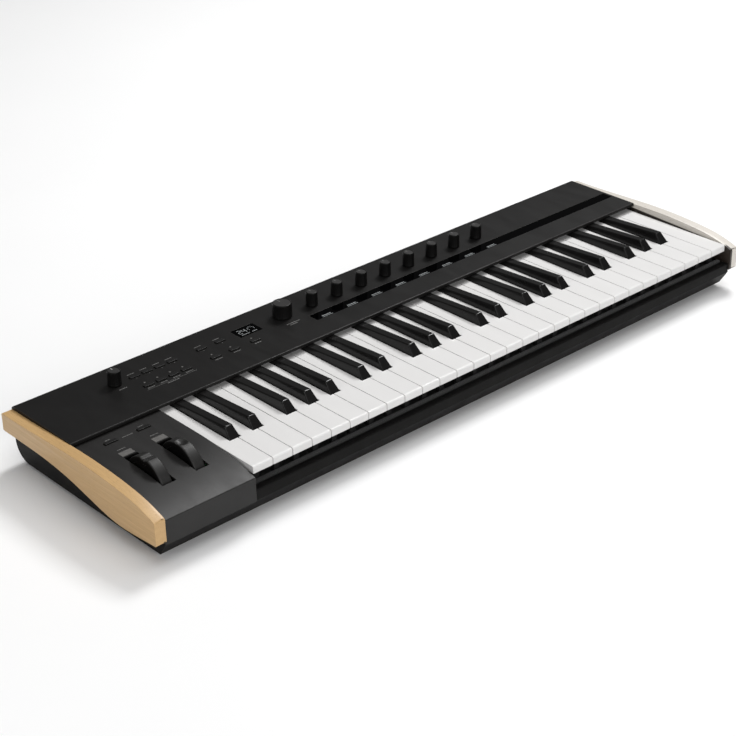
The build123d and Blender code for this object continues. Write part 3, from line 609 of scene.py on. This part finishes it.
def thumb_dimple(along, across):
    """Depth of a round dimple in the middle of the tread."""
    out = (along ** 2 + across ** 2) / DIMPLE_RADIUS ** 2
    return DIMPLE_DEPTH * (1 - out) if out < 1 else 0.0


wheel("pitch_wheel", thumb_groove)
wheel("modulation_wheel", thumb_dimple)


# ---- Wooden cheeks ------------------------------------------------------------------------
SECTION_DEPTH = 8.5 * MM
# Width of the strip beside the case that takes the painted shade material.
SHADE_STRIP_WIDTH = 3.0 * MM
CORNER_ROUND = 2.0 * MM
RIM_ROUND = 1.9 * MM
SEAT_ROUND = 0.5 * MM


def section_outline(node, x):
    """Corner points of the closed outline where a plane of constant x cuts a node."""
    mesh = bmesh.new()
    mesh.from_mesh(nodes[node].data)
    bmesh.ops.remove_doubles(mesh, verts=mesh.verts, dist=0.001 * MM)
    everything = mesh.verts[:] + mesh.edges[:] + mesh.faces[:]
    bmesh.ops.bisect_plane(mesh, geom=everything, plane_co=(x, 0, 0), plane_no=(1, 0, 0),
                           clear_inner=True, clear_outer=True)
    bmesh.ops.remove_doubles(mesh, verts=mesh.verts, dist=0.01 * MM)
    start = mesh.verts[:][0]
    ordered, before, vertex = [], None, start
    while vertex is not None:
        ordered.append((vertex.co.y, vertex.co.z))
        following = [edge.other_vert(vertex) for edge in vertex.link_edges]
        following = [other for other in following if other is not before]
        before, vertex = vertex, following[0] if following and following[0] is not start else None
    mesh.free()
    return ordered


def wooden_cheek(node, wood, seat_wood):
    """Cheek with rounded edges on the outline of the plain one, and its own material beside the case, which
    carries painted shade on the right cheek.
    """
    low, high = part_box(node)
    inner, outer = (low.x, high.x) if low.x > 0 else (high.x, low.x)
    outline = section_outline(node, inner + math.copysign(SECTION_DEPTH, outer))
    mesh = bmesh.new()
    shade_strip_x = inner + math.copysign(SHADE_STRIP_WIDTH, outer)
    ring_surface(mesh, [[(x, y, z) for y, z in outline] for x in (inner, shade_strip_x, outer)])
    bmesh.ops.recalc_face_normals(mesh, faces=mesh.faces)
    corners = [edge for edge in mesh.edges if edge.calc_face_angle(0.0) > math.radians(40)
               and abs(edge.verts[0].co.x - edge.verts[1].co.x) > 1 * MM]
    bmesh.ops.bevel(mesh, geom=corners, offset=CORNER_ROUND, segments=4, profile=0.5, affect="EDGES")
    for side_x, offset, segments in ((outer, RIM_ROUND, 5), (inner, SEAT_ROUND, 2)):
        rim = [edge for edge in mesh.edges if edge.calc_face_angle(0.0) > math.radians(60)
               and all(abs(vertex.co.x - side_x) < 0.01 * MM for vertex in edge.verts)]
        bmesh.ops.bevel(mesh, geom=rim, offset=offset, segments=segments, profile=0.5, affect="EDGES",
                        clamp_overlap=True)
    # Faces in the strip next to the case take the second material, which on the right cheek holds painted
    # shade.
    for face in mesh.faces:
        face.material_index = int(abs(face.calc_center_median().x - inner) < SHADE_STRIP_WIDTH * 0.9)
    make_piece(node + "_wood", mesh, [wood, seat_wood], "case", node, 30.0)


wooden_cheek("left_cheek", finishes["cheek_wood"], finishes["cheek_wood"])
wooden_cheek("right_cheek", pale_wood, shaded_wood)

# ---- Prints on the panel and the wheel housing -----------------------------------------------
PRINT_THICK = 0.05 * MM
DOT_SIZE = (1.0 * MM, 0.9 * MM)
LINE_WIDTH = 0.35 * MM
UPPER_LABEL_RISE = 6.6 * MM
UPPER_DOT_DROP = 4.4 * MM
LOWER_LABEL_DROP = 5.4 * MM
BANK_LINE_DROP = 8.0 * MM
BANK_LABEL_DROP = 10.2 * MM
BANK_MARGIN = 7 * MM
VOLUME_LABEL_DROP = 12.4 * MM
DIAL_LABEL_DROP = 18.5 * MM
DIAL_SECOND_DROP = 21.5 * MM
OCTAVE_LABEL_RISE = 5.0 * MM
WHEEL_LABEL_RISE = 12.4 * MM
panel_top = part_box("top_panel")[1].z
housing_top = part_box("wheel_housing")[1].z
DASH_LENGTHS = (0.9, 1.3, 1.8, 2.4)
DASH_GAP = 0.45 * MM
dashes = random.Random(11)


def label(mesh, x, y, z, length, height=1.2 * MM):
    """A label shown as a row of short dashes, with no letters."""
    reach = x - length / 2
    end = x + length / 2
    while reach < end - 0.6 * MM:
        dash = min(dashes.choice(DASH_LENGTHS) * MM, end - reach)
        rounded_plate(mesh, (reach + dash / 2, y), (dash, height), 0.2 * MM, z, PRINT_THICK)
        reach += dash + DASH_GAP


def centre_of(node):
    """Middle of a node's box seen from above."""
    low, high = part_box(node)
    return (low.x + high.x) / 2, (low.y + high.y) / 2


marks = bmesh.new()
upper_centres = [centre_of(f"upper_button_{number}") for number in range(1, 7)]
lower_centres = [centre_of(f"lower_button_{number}") for number in range(1, 8)]
for button_x, button_y in upper_centres:
    label(marks, button_x, button_y + UPPER_LABEL_RISE, panel_top, 8.0 * MM)
    dot_place = (button_x, button_y - UPPER_DOT_DROP)
    rounded_plate(marks, dot_place, DOT_SIZE, 0.4 * MM, panel_top, PRINT_THICK)
for button_x, button_y in lower_centres:
    label(marks, button_x, button_y - LOWER_LABEL_DROP, panel_top, 9.0 * MM)
bank_y = lower_centres[0][1]
bank_left, bank_right = lower_centres[0][0] - BANK_MARGIN, lower_centres[3][0] + BANK_MARGIN
bank_x = (bank_left + bank_right) / 2
rounded_plate(marks, (bank_x, bank_y - BANK_LINE_DROP), (bank_right - bank_left, LINE_WIDTH), 0.1 * MM,
              panel_top, PRINT_THICK)
label(marks, bank_x, bank_y - BANK_LABEL_DROP, panel_top, 14 * MM)
volume_x, volume_y = centre_of("volume_knob")
label(marks, volume_x + 1 * MM, volume_y - VOLUME_LABEL_DROP, panel_top, 9 * MM)
dial_x, dial_y = centre_of("value_dial")
label(marks, dial_x - 1 * MM, dial_y - DIAL_LABEL_DROP, panel_top, 17 * MM, 1.3 * MM)
label(marks, dial_x - 2 * MM, dial_y - DIAL_SECOND_DROP, panel_top, 11 * MM)
octave_centres = [centre_of("octave_down_button"), centre_of("octave_up_button")]
for button_x, button_y in octave_centres:
    label(marks, button_x, button_y + OCTAVE_LABEL_RISE, housing_top, 6 * MM, 1.1 * MM)
octave_x = (octave_centres[0][0] + octave_centres[1][0]) / 2
label(marks, octave_x, octave_centres[1][1] - 0.5 * MM, housing_top, 12 * MM)
wheel_label_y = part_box("light_lenses")[0].y + WHEEL_LABEL_RISE
for name in ("pitch_wheel", "modulation_wheel"):
    label(marks, centre_of(name)[0], wheel_label_y, housing_top, 9 * MM, 1.1 * MM)
make_piece("control_prints", marks, [print_grey], "case")

# ---- Display graphics ---------------------------------------------------------------------------
GRAPHIC_THICK = 0.04 * MM
GRAPHIC_GAP = 0.01 * MM
SEGMENT_BAR = 0.75 * MM
FIGURE_SIZE = (3.6 * MM, 7.4 * MM)
# Which segments are lit: top, upper left, upper right, middle, lower left, lower right, bottom
SEGMENTS_LIT = {"2": (1, 0, 1, 1, 1, 0, 1), "4": (0, 1, 1, 1, 0, 1, 0)}


def digit(mesh, figure, x, y, z):
    """Seven-segment figure."""
    width, height = FIGURE_SIZE
    places = (((0, height / 2), True), ((-width / 2, height / 4), False), ((width / 2, height / 4), False),
              ((0, 0), True), ((-width / 2, -height / 4), False), ((width / 2, -height / 4), False),
              ((0, -height / 2), True))
    for ((shift_x, shift_y), level), shown in zip(places, SEGMENTS_LIT[figure]):
        if shown:
            length = (width if level else height / 2) - SEGMENT_BAR * 0.6
            size = (length, SEGMENT_BAR) if level else (SEGMENT_BAR, length)
            rounded_plate(mesh, (x + shift_x, y + shift_y), size, 0.3 * MM, z, GRAPHIC_THICK)


def box_where(node, low_y, high_y):
    """Low and high corner of the part of a node between two y limits."""
    points = [vertex.co for vertex in nodes[node].data.vertices if low_y <= vertex.co.y <= high_y]
    return (Vector([min(point[axis] for point in points) for axis in range(3)]),
            Vector([max(point[axis] for point in points) for axis in range(3)]))


STRIP_REACH = 15 * MM
WINDOW_START = 20 * MM
FIGURE_RISE = 1.2 * MM
CAPTION_DROP = 5.6 * MM
ARC_SHIFT = 6.4 * MM
ARC_RADIUS = 3.6 * MM
SMALL_DISPLAY_SHIFT = 3 * MM
lens_low, lens_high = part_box("display_lenses")
strip_low, strip_high = box_where("display_lenses", lens_low.y, lens_low.y + STRIP_REACH)
window_low, window_high = box_where("display_lenses", lens_low.y + WINDOW_START, lens_high.y)
window_x = (window_low.x + window_high.x) / 2
figure_y = (window_low.y + window_high.y) / 2 + FIGURE_RISE
caption_y = (window_low.y + window_high.y) / 2 - CAPTION_DROP
arc_x = window_x + ARC_SHIFT
window_z = window_high.z + GRAPHIC_GAP
graphics = bmesh.new()
digit(graphics, "2", window_x - 8.0 * MM, figure_y, window_z)
digit(graphics, "4", window_x - 2.4 * MM, figure_y, window_z)
for step in range(9):
    turn = math.radians(210 - 30 * step)
    spoke = (arc_x + ARC_RADIUS * math.cos(turn), figure_y + ARC_RADIUS * math.sin(turn))
    rounded_plate(graphics, spoke, (1.5 * MM, 0.5 * MM), 0.2 * MM, window_z, GRAPHIC_THICK, angle=turn)
label(graphics, window_x - 5.0 * MM, caption_y, window_z, 10 * MM, 1.1 * MM)
label(graphics, arc_x, caption_y, window_z, 6 * MM, 1.1 * MM)
strip_z = strip_high.z + GRAPHIC_GAP
for number in range(1, 9):
    display_x = centre_of(f"parameter_knob_{number}")[0] - SMALL_DISPLAY_SHIFT
    label(graphics, display_x, strip_low.y + 4.4 * MM, strip_z, 12 * MM, 1.5 * MM)
    rounded_plate(graphics, (display_x, strip_low.y + 2.0 * MM), (14 * MM, 0.7 * MM), 0.3 * MM, strip_z,
                  GRAPHIC_THICK)
make_piece("display_graphics", graphics, [display_white], "case")


# ---- Rear socket hardware ----------------------------------------------------------------------
def around_y(centre, radii_and_ys, count, sides=0):
    """Rings about a line along Y; with a number of sides, the ring is that polygon."""
    rings = []
    for radius, y in radii_and_ys:
        ring = []
        for index in range(count):
            turn = 2 * math.pi * index / count
            reach = radius
            if sides:
                part = turn % (2 * math.pi / sides) - math.pi / sides
                reach = radius * math.cos(math.pi / sides) / math.cos(part)
            ring.append((centre[0] + reach * math.cos(turn), y, centre[1] + reach * math.sin(turn)))
        rings.append(ring)
    return rings


NUT_RADIUS = 5.8 * MM
NUT_THICK = 1.5 * MM
INSERT_DEPTH = 7.0 * MM
PIN_CIRCLE = 4.2 * MM
PIN_COUNT = 5
REAR_LABEL_RISE = 11.5 * MM
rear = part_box("socket_plate")[1].y
sockets = [mount for mount in frame["record"]["mounts"] if mount["kind"] == "bore"]
for mount in sockets:
    centre = (mount["pos_m"][0], mount["pos_m"][2])
    bore = mount["dims"]["r_mm"] * MM
    hardware = bmesh.new()
    if mount["name"].startswith("jack"):
        profile = [(NUT_RADIUS, rear), (NUT_RADIUS, rear + NUT_THICK - 0.5 * MM),
                   (NUT_RADIUS - 0.5 * MM, rear + NUT_THICK), (bore + 1.0 * MM, rear + NUT_THICK),
                   (bore + 0.1 * MM, rear + NUT_THICK - 0.3 * MM), (bore + 0.1 * MM, rear)]
        ring_surface(hardware, around_y(centre, profile[:3], 72, 6) + around_y(centre, profile[3:], 72),
                     close_start=False, close_end=False)
        make_piece(mount["name"] + "_nut", hardware, [finishes["steel"]], "case", None)
        continue
    floor_y = rear - INSERT_DEPTH
    disc = [(bore - 0.25 * MM, y) for y in (floor_y - 1 * MM, floor_y)]
    ring_surface(hardware, around_y(centre, disc, 48))
    make_piece(mount["name"] + "_insert", hardware, [finishes["socket_plastic"]], "case", None)
    pins = bmesh.new()
    for index in range(PIN_COUNT):
        turn = math.radians(180 + 45 * index)
        pin = (centre[0] + PIN_CIRCLE * math.cos(turn), centre[1] + PIN_CIRCLE * math.sin(turn))
        sleeve = [(0.75 * MM, floor_y), (0.75 * MM, floor_y + 0.4 * MM), (0.45 * MM, floor_y + 0.5 * MM),
                  (0.45 * MM, floor_y + 0.1 * MM)]
        ring_surface(pins, around_y(pin, sleeve, 16))
    make_piece(mount["name"] + "_contacts", pins, [finishes["steel"]], "case", None)

rear_prints = bmesh.new()
for mount in sockets:
    label(rear_prints, mount["pos_m"][0], 0.0, 0.0, 9 * MM, 1.3 * MM)
for vertex in rear_prints.verts:
    vertex.co = (vertex.co.x, rear + vertex.co.z, sockets[0]["pos_m"][2] + REAR_LABEL_RISE + vertex.co.y)
make_piece("rear_prints", rear_prints, [print_grey], "case")

# ---- Feet ------------------------------------------------------------------------------------------
FOOT_RADIUS = 8 * MM
# Radius and height of each step in a foot's profile, in millimetres
FOOT_PROFILE = [(7.4, 5.0), (8.0, 4.6), (8.0, 1.2), (7.5, 0.35), (6.9, 0.0), (6.1, 0.0), (5.9, 0.5),
                (5.3, 0.5), (5.1, 0.0), (4.3, 0.0), (4.1, 0.5), (3.5, 0.5), (3.3, 0.0), (0.6, 0.0)]
feet_low, feet_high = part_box("rubber_feet")
feet = bmesh.new()
for foot_x in (feet_low.x + FOOT_RADIUS, 0.0, feet_high.x - FOOT_RADIUS):
    for foot_y in (feet_low.y + FOOT_RADIUS, feet_high.y - FOOT_RADIUS):
        ring_surface(feet, [circle((foot_x, foot_y), radius * MM, height * MM, 48)
                            for radius, height in FOOT_PROFILE])
make_piece("ridged_feet", feet, [finishes["rubber"]], "case", "rubber_feet")

# ---- Floor, light and camera ----------------------------------------------------------------------------
floor_material, floor_tree, floor_shader = new_material("pale_floor")
floor_cloud = noise(floor_tree, place(floor_tree), 3.0, 3.0)
floor_tree.links.new(mix(floor_tree, floor_cloud, (0.90, 0.90, 0.90), (0.93, 0.93, 0.93)),
                     floor_shader.inputs["Base Color"])
floor_shader.inputs["Roughness"].default_value = 0.9
floor_shader.inputs["Specular IOR Level"].default_value = 0.1
floor_mesh = bpy.data.meshes.new("floor")
FLOOR_HALF = 9.0
FLOOR_DROP = 0.2 * MM
floor_corners = [(x * FLOOR_HALF, y * FLOOR_HALF, 0) for x, y in ((-1, -1), (1, -1), (1, 1), (-1, 1))]
floor_mesh.from_pydata(floor_corners, [], [(0, 1, 2, 3)])
floor_mesh.materials.append(floor_material)
floor = bpy.data.objects.new("floor", floor_mesh)
floor.location.z = -FLOOR_DROP
bpy.context.scene.collection.objects.link(floor)


def softbox(name, spot, size, energy):
    """White rectangular area light aimed at the middle of the object's footprint."""
    light = bpy.data.lights.new(name, "AREA")
    light.shape = "RECTANGLE"
    light.size, light.size_y = size
    light.energy = energy
    lamp = bpy.data.objects.new(name, light)
    lamp.location = spot
    lamp.rotation_mode = "QUATERNION"
    lamp.rotation_quaternion = (-Vector(spot)).to_track_quat("-Z", "Y")
    bpy.context.scene.collection.objects.link(lamp)


# Place and size in metres, power in watts
softbox("overhead_softbox", (0.0, -0.3, 2.6), (3.2, 2.4), 36.0)
softbox("key_softbox", (1.70, 0.68, 2.34), (0.85, 0.85), 54.0)
softbox("front_softbox", (-0.6, -2.8, 1.2), (2.6, 1.6), 40.0)
softbox("side_softbox", (-2.8, -0.4, 1.0), (1.8, 1.2), 14.0)

WORLD_STRENGTH = 0.12
world = bpy.data.worlds.new("studio")
world.use_nodes = True
world.node_tree.nodes["Background"].inputs["Color"].default_value = (1.0, 1.0, 1.0, 1.0)
world.node_tree.nodes["Background"].inputs["Strength"].default_value = WORLD_STRENGTH
bpy.context.scene.world = world
bpy.context.scene.view_settings.view_transform = "Standard"

SENSOR_WIDTH_MM = 36.0
LENS_MM = 87.0
CAMERA_PLACE = Vector((-1.1178, -1.2016, 0.8893))
CAMERA_AIM = Vector((-0.0867, -0.0442, 0.05))
CAMERA_ROLL = math.radians(-1.26)
camera_data = bpy.data.cameras.new("view")
camera_data.sensor_width = SENSOR_WIDTH_MM
camera_data.lens = LENS_MM
camera_data.clip_start, camera_data.clip_end = 0.05, 60.0
camera = bpy.data.objects.new("view", camera_data)
camera.location = CAMERA_PLACE
camera.rotation_mode = "QUATERNION"
camera.rotation_quaternion = ((CAMERA_AIM - CAMERA_PLACE).to_track_quat("-Z", "Y")
                              @ Quaternion((0, 0, 1), CAMERA_ROLL))
bpy.context.scene.collection.objects.link(camera)
bpy.context.scene.camera = camera
